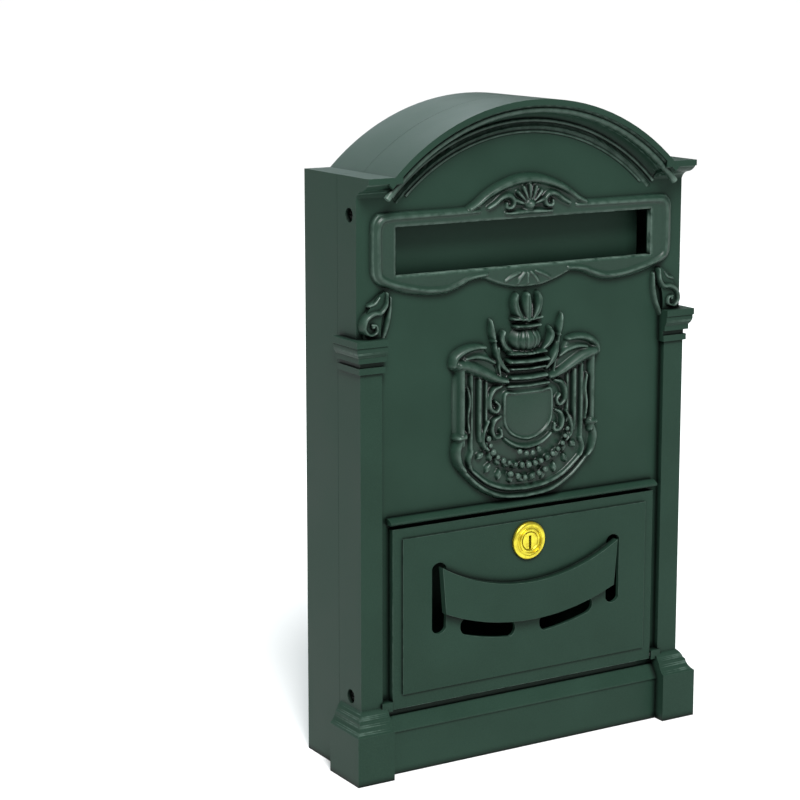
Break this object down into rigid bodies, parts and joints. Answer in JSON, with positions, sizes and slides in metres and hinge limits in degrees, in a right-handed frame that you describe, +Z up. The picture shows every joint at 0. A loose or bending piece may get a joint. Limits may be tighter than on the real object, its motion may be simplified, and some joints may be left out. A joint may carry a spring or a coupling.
{
  "type": "wall mounted mailbox",
  "caption": "Cast wall letterbox with an arched head, a flap behind the letter slot, a raised crest and a lockable drop-down door with sight slots.",
  "frame": {"origin": "on the wall face of the casing, at the centre of the rectangle of the four wall holes", "axes": "+X to the right as you face the box, +Y into the wall, +Z up"},
  "size_m": [0.256, 0.077, 0.41],
  "materials": {
    "coated_casting": "very dark green-grey textured powder coat on die-cast aluminium",
    "brass": "satin brass",
    "zinc_steel": "zinc plated",
    "spring_steel": "phosphated spring steel",
    "black_steel": "blackened steel"
  },
  "bodies": {
    "box": {"rear_casing": "coated_casting", "front_frame": "coated_casting", "crest": "coated_casting", "crest_push_nut_low": "spring_steel", "crest_push_nut_high": "spring_steel", "door_pin_left": "zinc_steel", "door_pin_right": "zinc_steel", "flap_rod": "zinc_steel", "flap_clip_left": "spring_steel", "flap_clip_right": "spring_steel", "side_screw_left_low": "black_steel", "side_screw_left_high": "black_steel", "side_screw_right_low": "black_steel", "side_screw_right_high": "black_steel"},
    "door": {"door_panel": "coated_casting", "lock_housing": "brass", "lock_washer": "zinc_steel", "lock_nut": "zinc_steel"},
    "lock": {"lock_plug": "brass", "lock_cam": "zinc_steel", "cam_screw": "zinc_steel"},
    "flap": {"slot_flap": "coated_casting"}
  },
  "joints": [
    {"name": "door_hinge", "type": "hinge", "parent": "box", "child": "door", "pos_m": [0, -0.0653, -0.1615], "axis": [1, 0, 0], "range_deg": [0, 108]},
    {"name": "flap_hinge", "type": "hinge", "parent": "box", "child": "flap", "pos_m": [0, -0.04644, 0.1367], "axis": [1, 0, 0], "range_deg": [-12, 75]},
    {"name": "lock_turn", "type": "hinge", "parent": "door", "child": "lock", "pos_m": [0, -0.0684, -0.07], "axis": [0, -1, 0], "range_deg": [0, 90]}
  ]
}
